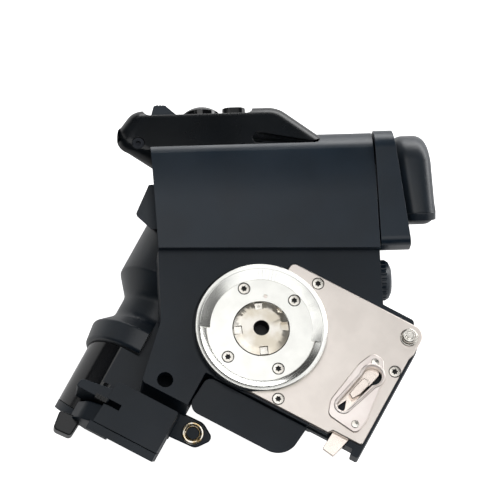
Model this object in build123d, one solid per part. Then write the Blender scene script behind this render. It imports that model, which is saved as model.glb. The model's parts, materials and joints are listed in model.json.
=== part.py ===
from build123d import *
import os
from math import acos, cos, degrees, pi, radians, sin, sqrt, tan

# A motor winder with a hand grip, for the side of a box-shaped camera.
#
# Frame, in millimetres: the origin is on the drive coupling's axis, at the mating plate's
# outer face. +Z points out of the plate towards the camera, +X runs along the plate to the
# camera's rear, and +Y is up in use. At rest the winder lies on its outboard side, which is
# its lowest face.
#
# The head at the top is tilted about Z. Its own axes are u, along it to the rear, and v, up
# across it: head(u, v) gives the row's x and y.

# ---- driving dimensions ------------------------------------------------------------------
WALL = 2.4                     # moulded walls
GAP = 0.3                      # between pieces that move past each other
RUN = 0.04                     # radial clearance of shafts in their bearings
OUTBOARD_Z = -54.0             # the side that the winder lies on
PARTING_Z = -26.0              # where the inner and outer housings meet

PANEL_Z = -0.6                 # black panel round the plate
PLATE_T = 1.6
PLATE_X = (-2.0, 52.0)
PLATE_Y = (-23.0, 28.3)
EAR_X = 52.8                   # the plate's ear round the locating stud
RIM_SIDE, RIM_LOW, RIM_HIGH = 1.0, 0.9, 1.7   # black rim outside the plate

RING_R, RING_TOP = 24.0, 2.6
RING_IN_TOP, RING_IN_LOW = 21.6, 19.8
DISC_T = 0.8
HUB_R, HUB_OPEN_R = 10.1, 10.4
HUB_FACE_R, HUB_TOP = 7.5, 1.7
DRIVE_BORE_R, DRIVE_BORE_DEPTH = 2.9, 6.0
HUB_SHAFT_R = 5.0
HUB_SLOT_ANGLE, HUB_SLOT_W = 34.0, 3.0

HEAD_TILT = 30.8
HEAD_U = (-36.8, 44.9)
HEAD_V = (28.6, 76.2)
HEAD_LINE = (31.4, 29.0)       # its lower edge's height at the front and at the rear
HEAD_TOP_Z = 2.4
HEAD_NEAR_R, HEAD_FAR_R = 9.0, 16.0

HUMP_Z = (-26.0, 1.5)
HUMP_V = 86.1
DECK_V = 84.0                  # floor of the recess that the controls stand in
BUTTON_Z = -11.5

GRIP_X, GRIP_Z = -35.5, -32.5  # the grip's own axis, parallel to Y
RIDGE_R, GROOVE_R = 22.2, 16.3
SLEEVE_R, BASE_R = 15.6, 19.2
CAVITY_R, CASSETTE_R = 14.8, 14.4
CAVITY_X, CASSETTE_X = -13.2, -13.6
BASE_RIGHT_X = -11.7
BASE_Y = -58.4                 # the base's underside at the height of BASE_TOP_Z
BASE_TOP_Z, CHEEK_Z = -14.5, -4.0
UNDER_SLOPE = 20.0             # the underside climbs towards the outboard side
CAP_T = 3.6

# How far walls draw in for each millimetre towards the outboard side.
ROW_LEAN = (-0.09, 0.34)       # in x and y
HEAD_LEAN = (0.097, 0.335)     # in u and v

CELL_R, CELL_LENGTH, CELL_PITCH = 6.9, 49.0, 14.1

GEAR_MODULE = 1.0
HUB_TEETH, IDLER_SMALL, IDLER_LARGE, PINION_TEETH = 36, 12, 24, 10
IDLER_DIRECTION, PINION_DIRECTION = 60.0, -75.0
UPPER_GEARS, LOWER_GEARS = (-8.5, -5.0), (-12.5, -9.5)
GEAR_PLATE = (-15.0, -13.5)
MOTOR_R, MOTOR_LENGTH = 12.5, 34.0

LOCK_AT, LOCK_TURN = (41.2, -4.1), -15.0
LOCK_TRAVEL = 4.0
SCREW_HEAD_R, SCREW_SHANK_R = 2.2, 1.25

parts = {}


# ---- helpers -------------------------------------------------------------------------------
def keep(name, shape):
    """Store one named piece."""
    parts[name] = shape


def block(x, y, z):
    """A box from its three (low, high) spans."""
    centre = Pos((x[0] + x[1]) / 2, (y[0] + y[1]) / 2, (z[0] + z[1]) / 2)
    return centre * Box(x[1] - x[0], y[1] - y[0], z[1] - z[0])


def prism(points, z, radii=0.0):
    """A straight-walled solid on an outline, its corners rounded by one radius or a list."""
    if radii:
        path = FilletPolyline(*points, radius=radii, close=True)
    else:
        path = Polyline(*points, close=True)
    return Pos(0, 0, z[0]) * extrude(make_face(path), z[1] - z[0])


def raked(points, z, lean, radii=0.0):
    """A solid on an outline at its camera side, that leans as it goes to the outboard side."""
    path = FilletPolyline(*points, radius=radii, close=True) if radii else Polyline(*points, close=True)
    depth = z[1] - z[0]
    way = Vector(lean[0], lean[1], -1)
    return Pos(0, 0, z[1]) * extrude(make_face(path), way.length * depth, dir=way)


def drum(x, y, r, z):
    """An upright cylinder."""
    return Pos(x, y, (z[0] + z[1]) / 2) * Cylinder(r, z[1] - z[0])


def turned(profile):
    """A solid turned about Z from (radius, z) points."""
    face = make_face(Polyline(*[(r, 0, z) for r, z in profile], close=True))
    return revolve(face, Axis.Z)


def head(u, v):
    a = radians(HEAD_TILT)
    return (u * cos(a) - v * sin(a), u * sin(a) + v * cos(a))


def tilt(shape):
    """Carry a shape from the head's u, v axes to the row's."""
    return Rot(0, 0, HEAD_TILT) * shape


def polar(r, angle):
    return (r * cos(radians(angle)), r * sin(radians(angle)))


def group(shapes):
    return Part() + shapes


def grip_section(r, right_x):
    """The grip's D-shaped section, drawn in x and z: half round in front, square behind."""
    top, bottom = GRIP_Z + r, GRIP_Z - r
    right_top = right_x + ROW_LEAN[0] * (BASE_TOP_Z - top)
    right_bottom = right_x + ROW_LEAN[0] * (BASE_TOP_Z - bottom)
    front = ThreePointArc((GRIP_X, top), (GRIP_X - r, GRIP_Z), (GRIP_X, bottom))
    back = Polyline((GRIP_X, bottom), (right_bottom, bottom), (right_top, top), (GRIP_X, top))
    return make_face([front, back])


def grip_prism(r, right_x, y):
    """The D section carried from y[0] to y[1]."""
    solid = extrude(grip_section(r, right_x), y[1] - y[0])
    return Pos(0, y[1], 0) * Rot(90, 0, 0) * solid


def below(y0, z0, slope, depth=80.0):
    """All that lies under a plane through (y0, z0) that climbs towards the outboard side."""
    slab = Pos(0, -depth / 2, 0) * Box(300, depth, 300)
    return Pos(0, y0, z0) * Rot(slope, 0, 0) * slab


def screw(x, y, z_top, length):
    """A countersunk screw with a six-lobed socket, its head flush with z_top."""
    body = turned([
        (0, z_top), (SCREW_HEAD_R, z_top), (SCREW_HEAD_R, z_top - 0.2),
        (SCREW_SHANK_R, z_top - 1.1), (SCREW_SHANK_R, z_top - length), (0, z_top - length),
    ])
    socket = drum(0, 0, 0.62, (z_top - 0.8, z_top + 1))
    for k in range(6):
        sx, sy = polar(0.62, 60 * k)
        socket += drum(sx, sy, 0.24, (z_top - 0.8, z_top + 1))
    return Pos(x, y, 0) * (body - socket)


def screw_hole(x, y, z_top, depth):
    """The room for that screw."""
    sink = turned([
        (0, z_top + 1), (SCREW_HEAD_R + 0.08, z_top + 1), (SCREW_HEAD_R + 0.08, z_top - 0.2),
        (SCREW_SHANK_R + 0.06, z_top - 1.12), (SCREW_SHANK_R + 0.06, z_top - depth),
        (0, z_top - depth),
    ])
    return Pos(x, y, 0) * sink


def gear_outline(teeth, phase, backlash=0.16, pressure=20.0):
    """An involute spur gear's outline, with one tooth centred on the phase angle."""
    pitch_r = teeth * GEAR_MODULE / 2
    base_r = pitch_r * cos(radians(pressure))
    tip_r = pitch_r + 0.62 * GEAR_MODULE
    root_r = pitch_r - 0.95 * GEAR_MODULE

    def roll(r):
        a = acos(base_r / r) if r > base_r else 0.0
        return tan(a) - a

    half = pi / (2 * teeth) - backlash / (2 * pitch_r) + roll(pitch_r)
    start_r = max(root_r, base_r)
    radii = [start_r + (tip_r - start_r) * k / 4 for k in range(5)]
    flank = [(root_r, half - roll(start_r))] if root_r < start_r else []
    flank += [(r, half - roll(r)) for r in radii]
    points = []
    for k in range(teeth):
        centre = radians(phase) + 2 * pi * k / teeth
        side = [(r, centre - a) for r, a in flank] + [(r, centre + a) for r, a in flank[::-1]]
        points += [(r * cos(a), r * sin(a)) for r, a in side]
    return points


def gear(teeth, phase, z, x=0.0, y=0.0):
    return Pos(x, y, 0) * prism(gear_outline(teeth, phase), z)


# ---- the head: a tilted box with a rounded top -------------------------------------------------
def head_block(inset=0.0):
    """The head's outside, or the same shape drawn in by a wall."""
    u0, u1 = HEAD_U[0] + inset, HEAD_U[1]
    v0, v1 = HEAD_V[0] + inset, HEAD_V[1] - inset
    z0, z1 = OUTBOARD_Z + inset, HEAD_TOP_Z - inset
    near, far = HEAD_NEAR_R - inset, HEAD_FAR_R - inset
    section = FilletPolyline(
        (v0, z0), (v1, z0), (v1, z1), (v0, z1), radius=[0.6, far, near, 0.6], close=True)
    solid = extrude(make_face(section), u1 - u0)
    solid = Rot(0, 0, 90) * Rot(90, 0, 0) * solid
    # the extrusion now runs along +x with the section's first axis along +y
    return Pos(u0, 0, 0) * solid


def head_edge(u):
    """The v of the head's lower edge, which is not quite parallel to its top."""
    slope = (HEAD_LINE[1] - HEAD_LINE[0]) / (HEAD_U[1] - HEAD_U[0])
    return HEAD_LINE[0] + slope * (u - HEAD_U[0])


def over_head_edge(margin=0.0, u=(-90, 90), z=(-80, 20)):
    """All that lies above the head's lower edge, or above a line a margin under it."""
    return tilt(prism([(u[0], head_edge(u[0]) - margin), (u[1], head_edge(u[1]) - margin),
                       (u[1], 130), (u[0], 130)], z))


head_outside = head_block()
head_outside -= raked([(-60, 90), (HEAD_U[0], 90), (HEAD_U[0] + 1.3, 20), (-60, 20)],
                      (OUTBOARD_Z - 2, HEAD_TOP_Z + 1), (HEAD_LEAN[0], 0.0))
head_outside -= prism([(-60, head_edge(-60)), (60, head_edge(60)), (60, 10), (-60, 10)], (-60, 10))
head_inside = block((HEAD_U[0] + WALL + 6.2, HEAD_U[1] + 1), (HEAD_LINE[0] + WALL, HEAD_V[1] - WALL),
                    (OUTBOARD_Z + WALL, HEAD_TOP_Z - WALL))
head_inside = fillet(head_inside.edges().filter_by(Axis.X).group_by(Axis.Y)[-1], 7.0)
head_solid = tilt(head_outside)


def make_head():
    """Box-shaped shell, open at its rear end for the end cap."""
    shell = head_outside - head_inside
    # openings under the hump for the buttons' wiring, and a wiring hole to the gear room
    shell -= block((-26, 0), (HEAD_V[1] - WALL - 1, HEAD_V[1] + 1), (-21, -9))
    shell -= block((10, 26), (HEAD_V[0] - 1, HEAD_LINE[0] + WALL + 1), (-40, -28))
    u, v = HUMP_SCREWS[1]
    shell -= drum(u, v, 1.3, (HUMP_Z[1] - 9.0, HUMP_Z[1])) + drum(u, v, 2.25, (HUMP_Z[1] - 4.9, 5))
    keep("head_shell", tilt(shell))


def cap_block(u, slack=0.0):
    """The rear end's section: flat on top, and its underside climbs to the outboard side."""
    section = FilletPolyline(
        (CAP_V + slack, HEAD_TOP_Z - slack), (CAP_V + slack, -6), (48.5 + slack, OUTBOARD_Z + slack),
        (HEAD_V[1] - slack, OUTBOARD_Z + slack), (HEAD_V[1] - slack, HEAD_TOP_Z - slack),
        radius=[3.0, 14.0, 12.0, HEAD_FAR_R - slack, HEAD_NEAR_R - slack], close=True)
    solid = Rot(0, 0, 90) * Rot(90, 0, 0) * extrude(make_face(section), u[1] - u[0])
    return Pos(u[0], 0, 0) * solid


REAR_TOP_U, REAR_LOW_U = 51.8, 56.6     # the cap's slanting rear face, at its top and bottom
CAP_V = 30.4


def rear_trim(offset):
    """All that lies behind the cap's slanting rear face, moved back by an offset."""
    return prism([(REAR_TOP_U + offset, 80), (REAR_LOW_U + offset, 28), (90, 28), (90, 80)],
                 (-60, 10))


def make_rear():
    """End cap behind a visible seam, and the soft pad for the thumb."""
    seam = 0.5
    cap = cap_block((HEAD_U[1] + seam, 62.0)) - rear_trim(0.0)
    cap -= cap_block((HEAD_U[1] - 1, 50.0), slack=WALL)
    for z in (-2.6, -51.2):
        cap += block((40.0, 50.6), (48.0, 62.0), (z, z + 2.2))
    keep("end_cap", tilt(cap))
    pad = block((48.0, 69.0), (36.0, 77.4), (-44.0, -4.0))
    pad = fillet(pad.edges().filter_by(Axis.X), 8.0)
    pad = fillet(pad.faces().sort_by(Axis.X)[-1].edges(), 6.5)
    pad = pad & raked([(40, 39.4), (67.4, 39.4), (67.6, 60.0), (67.6, 130), (40, 130)], (-70, -4.0),
                      HEAD_LEAN, radii=[0.5, 6.0, 3.0, 0.5, 0.5])
    pad -= prism([(REAR_TOP_U, 80), (REAR_LOW_U, 28), (40, 28), (40, 80)], (-60, 10))
    keep("thumb_pad", tilt(pad))
    ledge = raked([(-28.0, 59.3), (-36.9, 59.3), (-42.4, 47.9), (-36.9, 42.2), (-28.0, 42.2)],
                  (-34.0, -9.0), HEAD_LEAN, radii=[0.3, 0.6, 1.8, 0.6, 0.3])
    ledge = tilt(ledge - head_outside)
    keep("finger_ledge", ledge)
    return ledge


# ---- the control hump and its buttons ----------------------------------------------------------
RELEASE_U, RELEASE_R = -16.3, 6.6
AUX_U, AUX_HALF, AUX_R = -4.2, 1.6, 2.6
SLIDER_U = (-35.2, -25.8)
SLIDER_TRAVEL = 2.4            # towards the rear
ROOF_V = DECK_V - 1.8
BOARD_V = (76.8, 77.8)
SKIRT_V = (ROOF_V - 1.3, ROOF_V - 0.3)


def across(u, z, r, v):
    """A cylinder across the head, along v."""
    return Pos(u, (v[0] + v[1]) / 2, z) * Rot(90, 0, 0) * Cylinder(r, v[1] - v[0])


def make_hump():
    """Rounded console that carries the controls, over the head and past its front."""
    outline = [(-30.0, 61.6), (-47.6, 71.3), (-47.6, 77.0), (-42.0, HUMP_V), (10.7, HUMP_V),
               (26.5, 73.0), (26.5, 61.6)]
    hump = prism(outline, HUMP_Z, radii=[1.0, 4.5, 6.0, 6.0, 8.0, 4.0, 1.0])
    hump = fillet(hump.faces().sort_by(Axis.Z)[-1].edges(), 4.2)
    hump = fillet(hump.faces().sort_by(Axis.Z)[0].edges(), 4.2)
    # the nose's underside climbs towards the outboard side
    hump -= raked([(-70, 40), (-30, 40), (-30, 61.6), (-47.6, 71.3), (-47.6, 78.0), (-70, 78.0)],
                  (-40.0, -2.7), HEAD_LEAN)
    # the controls stand in a shallow recess
    recess = block((-37.0, 1.6), (DECK_V, 100), (-21.0, 10.0))
    recess = fillet(recess.edges().filter_by(Axis.Z).group_by(Axis.Y)[0], 2.0)
    hump -= recess
    hump -= head_outside
    hump -= block((-34.0, 3.4), (HEAD_V[1] + 0.3, ROOF_V), (HUMP_Z[0] + 3.0, HUMP_Z[1] - 3.0))
    hump -= across(RELEASE_U, BUTTON_Z, RELEASE_R + GAP, (77, 90))
    aux_hole = block((AUX_U - AUX_HALF, AUX_U + AUX_HALF), (77, 90),
                     (BUTTON_Z - AUX_R - GAP, BUTTON_Z + AUX_R + GAP))
    for side in (-1, 1):
        aux_hole += across(AUX_U + side * AUX_HALF, BUTTON_Z, AUX_R + GAP, (77, 90))
    hump -= aux_hole
    slot = block((SLIDER_U[0] + 2.6, SLIDER_U[1] - 1.6 + SLIDER_TRAVEL), (77, 90),
                 (BUTTON_Z - 1.8, BUTTON_Z + 1.8))
    hump -= slot
    screws = []
    for u, v in HUMP_SCREWS:
        hump -= Pos(u, v, 0) * drum(0, 0, 2.25, (HUMP_Z[1] - 4.8, HUMP_Z[1] + 1))
        hump -= Pos(u, v, 0) * drum(0, 0, 1.3, (HUMP_Z[1] - 9.0, HUMP_Z[1]))
        low, high = HUMP_Z[1] - 8.8, HUMP_Z[1] - 3.4
        body = drum(0, 0, 1.24, (low, high)) + drum(0, 0, 2.2, (high - 1.3, high))
        body -= drum(0, 0, 0.9, (high - 0.9, high + 1))
        screws.append(tilt(Pos(u, v, 0) * body))
    keep("control_hump", tilt(hump))
    keep("hump_screws", group(screws))


HUMP_SCREWS = [(-40.5, 72.9), (3.4, 73.6)]


def make_controls():
    """Domed release button, oval second button, mode slider, their springs and switch board."""
    rim_v, top_v = DECK_V + 2.4, DECK_V + 5.0
    dome_r = (RELEASE_R ** 2 + (top_v - rim_v) ** 2) / (2 * (top_v - rim_v))
    body = across(RELEASE_U, BUTTON_Z, RELEASE_R, (SKIRT_V[0], rim_v))
    ball = Pos(RELEASE_U, top_v - dome_r, BUTTON_Z) * Sphere(dome_r)
    body += ball & across(RELEASE_U, BUTTON_Z, RELEASE_R, (rim_v - 0.5, top_v + 1))
    body += across(RELEASE_U, BUTTON_Z, RELEASE_R + 0.8, SKIRT_V)
    body += across(RELEASE_U, BUTTON_Z, 1.0, (SKIRT_V[0] - 1.0, SKIRT_V[0] + 0.1))
    keep("release_button", tilt(body))
    top = DECK_V + 4.2
    aux = block((AUX_U - AUX_HALF, AUX_U + AUX_HALF), (SKIRT_V[0], top), (BUTTON_Z - AUX_R, BUTTON_Z + AUX_R))
    for side in (-1, 1):
        aux += across(AUX_U + side * AUX_HALF, BUTTON_Z, AUX_R, (SKIRT_V[0], top))
    aux -= block((AUX_U - 2.6, AUX_U + 2.6), (top - 0.7, top + 1), (BUTTON_Z - 1.5, BUTTON_Z + 1.5))
    aux += block((AUX_U - 4.3, AUX_U + 4.6), SKIRT_V, (BUTTON_Z - 3.6, BUTTON_Z + 3.6))
    aux += across(AUX_U, BUTTON_Z, 0.8, (SKIRT_V[0] - 1.0, SKIRT_V[0] + 0.1))
    keep("second_button", tilt(aux))
    low, high = SLIDER_U
    wedge = prism([(low, DECK_V + 0.1), (low + 1.4, DECK_V + 4.6), (low + 2.6, DECK_V + 5.0),
                   (low + 5.6, DECK_V + 4.8), (high, DECK_V + 1.2), (high, DECK_V + 0.1)],
                  (BUTTON_Z - 5.0, BUTTON_Z + 5.0))
    for k in range(4):
        rib = Pos(low + 2.2 + 1.1 * k, DECK_V + 5.25, BUTTON_Z) * Rot(0, 0, 45) * Box(0.8, 0.8, 20)
        wedge -= rib
    wedge += block((low + 3.0, high - 2.0), (ROOF_V - 1.2, DECK_V + 0.3), (BUTTON_Z - 1.4, BUTTON_Z + 1.4))
    keep("mode_slider", tilt(wedge))
    board = block((-31.0, 2.4), BOARD_V, (-20.5, -3.2))
    keep("switch_board", tilt(board))
    switches = []
    for u in (RELEASE_U, AUX_U):
        switch = block((u - 1.6, u + 1.6), (BOARD_V[1], BOARD_V[1] + 0.8), (BUTTON_Z - 1.6, BUTTON_Z + 1.6))
        switches.append(tilt(switch))
    keep("tact_switches", group(switches))
    for name, u, r in (("release_spring", RELEASE_U, 4.6), ("second_spring", AUX_U, 2.7)):
        keep(name, tilt(coil(u, BOARD_V[1], SKIRT_V[0] - 1.2, r)))


def coil(u, v0, v1, r, wire=0.3, turns=3):
    """A stack of wire rings that stands for a small compression spring across the head."""
    rings = []
    for k in range(turns):
        v = v0 + wire + (v1 - v0 - 2 * wire) * k / (turns - 1)
        rings.append(Pos(u, v, BUTTON_Z) * Rot(90, 0, 0) * Torus(r, wire))
    return group(rings)


# ---- the housings behind the plate ---------------------------------------------------------------
REAR_U = HEAD_U[1]
PANEL_LEFT = [(-33.2, -14.5), (-28.6, -38.0)]
GEAR_BOX_X = (-9.8, 31.4)
GEAR_BOX_Y = (-38.6, -24.2)
GEAR_BOX_Z = -2.8
TRAY_FLOOR_Z = -6.4
DEEP_X = (-6.8, 32.4)
LOW_Y = PLATE_Y[0] - RIM_LOW
SIDE_X = PLATE_X[1] + RIM_SIDE
FOOT = (49.8, -26.2)


def plate_outline(grow=0.0, grow_round=0.0):
    """The mating plate: a rectangle with a round end under the ring and an ear at the stud."""
    x0, x1 = PLATE_X[0] - grow, PLATE_X[1] + grow
    y0, y1 = PLATE_Y[0] - grow, PLATE_Y[1] + grow
    ear = EAR_X + grow
    step_y = y0 + 1.6
    outline = make_face(FilletPolyline(
        (x0, y0), (39.2, y0), (40.4, step_y), (x1, step_y), (x1, 15.8), (ear, 18.2), (ear, y1), (x0, y1),
        radius=[0.5, 0.4, 0.4, 1.0, 0.8, 0.8, 3.8, 2.2], close=True))
    return outline + Circle(22.6 + grow_round)


def tray_top():
    """Where the rear wall's line meets the tray's upper edge."""
    y = PLATE_Y[1] + RIM_HIGH
    corner = head(REAR_U, HEAD_LINE[1])
    return (corner[0] + (corner[1] - y) * tan(radians(HEAD_TILT)), y)


def room_outline(inset=0.0):
    """The deep room behind the plate, for the gears and the motor."""
    corner = head(REAR_U - inset, HEAD_LINE[1] - inset)
    return [(DEEP_X[0] + inset, LOW_Y + inset), (DEEP_X[1] - inset, LOW_Y + inset),
            (DEEP_X[1] - inset, 20.0 + inset / 2), (31.0, tray_top()[1] + 0.4) if inset else tray_top(),
            corner, (DEEP_X[0] + inset, 40.0)]


def low_corner(inset=0.0):
    """The room's lower rear corner, which draws in towards the outboard side."""
    x, y = GEAR_BOX_X[1] - 0.4 - inset, LOW_Y - 1.8 + inset
    return raked([(x, y), (90, y), (90, -90), (x, -90)], (-70, -2.0), ROW_LEAN)


def make_inner_housing():
    """Camera-side shell: the panel, the plate's tray and the gear room's walls."""
    corner_front, corner_rear = head(HEAD_U[0] + 1.3, HEAD_LINE[0]), head(REAR_U, HEAD_LINE[1])
    top_y = tray_top()[1]
    outline = [corner_front] + PANEL_LEFT + [
        (GEAR_BOX_X[0] - 0.2, -38.0), (GEAR_BOX_X[0] - 0.2, LOW_Y), (FOOT[0], LOW_Y),
        (FOOT[0], FOOT[1]), (SIDE_X, FOOT[1]),
        (SIDE_X, 20.8), (46.8, top_y), tray_top(), corner_rear]
    radii = [0.3, 3.0, 1.6, 0.4, 0.4, 0.4, 0.6, 0.8, 1.5, 1.5, 0.4, 0.3]
    panel = prism(outline, (TRAY_FLOOR_Z, PANEL_Z), radii)
    left_points = [corner_front] + PANEL_LEFT + [
        (GEAR_BOX_X[0] - 0.2, -38.0), (GEAR_BOX_X[0] - 0.2, 0), (0, 40)]
    left = prism(left_points, (BASE_TOP_Z, TRAY_FLOOR_Z), radii=[0.3, 3.0, 1.6, 0.4, 0.3, 0.3])
    deep = prism(room_outline(), (PARTING_Z, TRAY_FLOOR_Z)) - low_corner()
    shell = (panel + left + deep) - over_head_edge()
    hollow_top = PANEL_Z - 3.4
    inner_left = [head(-32.0, HEAD_LINE[0] - WALL), (-30.4, -14.0), (-26.4, -35.6),
                  (-12.2, -35.6), (-12.2, -20.0), (-4, -20), (-4, 40)]
    shell -= prism(inner_left, (BASE_TOP_Z - 1, hollow_top)) - over_head_edge(WALL)
    room = prism(room_outline(WALL), (PARTING_Z - 1, hollow_top))
    shell -= room - over_head_edge(WALL) - low_corner(WALL)
    shell -= Pos(0, 0, -PLATE_T) * extrude(plate_outline(0.1, 2.2), 5.0)
    shell -= drum(0, 0, 19.4, (-6.0, 0))
    shell -= lock_place(block((-4.4, 3.4), (-17.0, 17.0), (-3.9, -1.0)))
    shell -= lock_place(block((-4.4, 10.4), (-24.0, -4.4), (-3.9, -1.0)))
    shell -= lock_place(block((3.2, 10.4), (-60, -15.4), (-3.9, 1.0)))
    shell -= drum(*PANEL_HOLE, 2.9, (hollow_top - 1, 1))
    for x, y in PLATE_SCREWS:
        shell -= drum(x, y, 1.31, (-5.9, 0))
    for x, y in STUD_SPOT:
        shell -= drum(x, y, 1.66, (-5.4, 0))
    dial_hole = Pos(REAR_U, DIAL_V, DIAL_Z) * Rot(0, 90, 0) * Cylinder(2.0 + RUN, 12)
    shell -= tilt(dial_hole)
    shell -= grip_room()
    lower = block((DEEP_X[0], 90), (LOW_Y - 10, 90), (-90, TRAY_FLOOR_Z))
    keep("gear_room_wall", shell & lower)
    keep("inner_housing", shell - lower)


def lock_place(shape):
    """Carry a shape from the lock slide's own axes, its y along the slide, to the row's."""
    return Pos(LOCK_AT[0], LOCK_AT[1], 0) * Rot(0, 0, LOCK_TURN) * shape


def grip_room():
    """The finger grip's outer envelope, in front of the grip's own axis."""
    tube = Pos(GRIP_X, 0, GRIP_Z) * Rot(90, 0, 0) * Cylinder(RIDGE_R + 0.02, 140)
    return tube & block((-90, GRIP_X), (-70, 70), (-80, 20))


PANEL_HOLE = (-21.5, -33.5)
PLATE_SCREWS = [(10.1, 25.4), (49.8, 9.2), (17.6, -20.3)]
STUD_SPOT = [(48.4, 23.1)]
DIAL_V, DIAL_Z, DIAL_R = 22.2, -15.5, 7.4


def make_gear_box_cover():
    """Rounded box under the plate that closes the gear room from below."""
    floor_z = PARTING_Z + 1.0
    outline = [(GEAR_BOX_X[0], GEAR_BOX_Y[0]), (GEAR_BOX_X[1] - 1.2, GEAR_BOX_Y[0]),
               (GEAR_BOX_X[1] + 0.2, GEAR_BOX_Y[1]), (GEAR_BOX_X[0] + 1.0, GEAR_BOX_Y[1])]
    cover = raked(outline, (floor_z, GEAR_BOX_Z), ROW_LEAN, radii=[4.0, 8.0, 0.4, 3.0])
    inner = [(GEAR_BOX_X[0] + 2.4, GEAR_BOX_Y[0] + 2.4), (GEAR_BOX_X[1] - 3.6, GEAR_BOX_Y[0] + 2.4),
             (GEAR_BOX_X[1] - 2.4, GEAR_BOX_Y[1] + 9), (GEAR_BOX_X[0] + 3.4, GEAR_BOX_Y[1] + 9)]
    cover -= raked(inner, (floor_z - 1, GEAR_BOX_Z - WALL), ROW_LEAN, radii=[2.0, 5.6, 0.4, 0.4])
    cover -= block((-90, 90), (LOW_Y, 90), (-90, 20))
    cover -= block((-90, GEAR_BOX_X[0]), (-90, 90), (-90, 20))
    keep("gear_box_cover", cover)


def make_outer_housing():
    """Outboard shell: a cup over the motor, and a skin over the back of the grip."""
    cup = prism(room_outline(), (OUTBOARD_Z, PARTING_Z)) - low_corner()
    skin = prism([(GRIP_X, -37.0), (DEEP_X[0], -37.0), (DEEP_X[0], 30.0), (GRIP_X, 30.0)],
                 (OUTBOARD_Z, SKIN_Z))
    cup += skin
    cup -= over_head_edge()
    cup -= below(LOW_Y, PARTING_Z, UNDER_SLOPE)
    inside = prism(room_outline(WALL), (OUTBOARD_Z + WALL, PARTING_Z + 1))
    inside = inside - over_head_edge(WALL) - low_corner(WALL)
    inside -= below(LOW_Y + WALL + 0.2, PARTING_Z, UNDER_SLOPE)
    cup -= inside
    for x, y in HOUSING_SCREWS:
        cup -= drum(x, y, 2.4, (OUTBOARD_Z - 1, OUTBOARD_Z + 1.2))
    keep("outer_housing", cup)
    heads = []
    for x, y in HOUSING_SCREWS:
        top = OUTBOARD_Z + 1.2
        shape = drum(x, y, 2.25, (OUTBOARD_Z + 0.3, top)) - drum(x, y, 0.9, (OUTBOARD_Z, OUTBOARD_Z + 0.9))
        heads.append(shape)
    keep("housing_screws", group(heads))


HOUSING_SCREWS = [(-3.0, -9.0), (26.0, -3.0), (28.6, 31.0), (-28.5, -10.0)]
SKIN_Z = GRIP_Z - SLEEVE_R - 1.1


# ---- the grip --------------------------------------------------------------------------------------
def under_cut(drop=0.0):
    """The base's sloping underside, moved down by a drop."""
    return below(BASE_Y - drop, BASE_TOP_Z, UNDER_SLOPE)


def make_grip_shell():
    """D-shaped tube that holds the batteries, stepped out to a bare glossy base."""
    sleeve = grip_prism(SLEEVE_R, BASE_RIGHT_X, (-30.0, 24.0))
    square = block((GRIP_X, BASE_RIGHT_X - 2.6), (-38.0, 24.0), (SKIN_Z, BASE_TOP_Z))
    base = grip_prism(BASE_R, BASE_RIGHT_X, (-75.0, -25.8))
    cheek = prism([(-38.4, -75), (BASE_RIGHT_X, -75), (BASE_RIGHT_X, -41.0), (-36.4, -41.0)],
                  (BASE_TOP_Z, CHEEK_Z), radii=[0.8, 0.8, 0.8, 2.2])
    base += cheek
    base -= block((-90, 20), (-40.6, 20), (BASE_TOP_Z, 20))
    shell = sleeve + square + base
    shell -= below(BASE_Y + CAP_T, BASE_TOP_Z, UNDER_SLOPE)
    shell -= head_solid
    shell -= over_head_edge()
    shell -= grip_prism(CAVITY_R, CAVITY_X, (-90.0, 40.0))
    shell -= block(LATCH_SLOT_X, LATCH_SLOT_Y, (CHEEK_Z - 7.0, CHEEK_Z + 1))
    shell -= block((-90, 20), (-90, 40), (-80, SKIN_Z)) & block((GRIP_X, 20), (-37.0, 40), (-80, 20))
    keep("grip_shell", shell)


LATCH_SLOT_X, LATCH_SLOT_Y = (-42.0, -31.0), (-51.0, -48.6)


def make_finger_grip():
    """Soft front of the grip, turned about the grip's axis, with hollows for the fingers."""
    inner = SLEEVE_R
    profile = FilletPolyline(
        (inner, -25.5), (20.8, -25.5), (RIDGE_R - 0.4, -17.6), (GROOVE_R, -12.0), (GROOVE_R, -2.8),
        (RIDGE_R, 4.8), (RIDGE_R, 27.0), (inner, 27.0),
        radius=[0.1, 1.5, 1.2, 5.0, 5.0, 1.6, 1.2, 0.1], close=True)
    ring = revolve(make_face(profile), Axis.Y)
    front = Pos(GRIP_X, 0, GRIP_Z) * ring
    front = front & block((-90, GRIP_X), (-70, 70), (-80, 20))
    front -= head_solid
    front -= over_head_edge(0.0, u=(HEAD_U[0] + 6.6, 90))
    front -= parts["finger_ledge"]
    keep("finger_grip", front)


def cassette_profile(y):
    return grip_prism(CASSETTE_R, CASSETTE_X, y)


def cell_spots():
    x0 = GRIP_X - 1.4
    return [(x0 + i * CELL_PITCH, GRIP_Z + (k - 0.5) * CELL_PITCH) for i in (0, 1) for k in (0, 1)]


CELL_Y = (-41.2, -41.2 + CELL_LENGTH)


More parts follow.
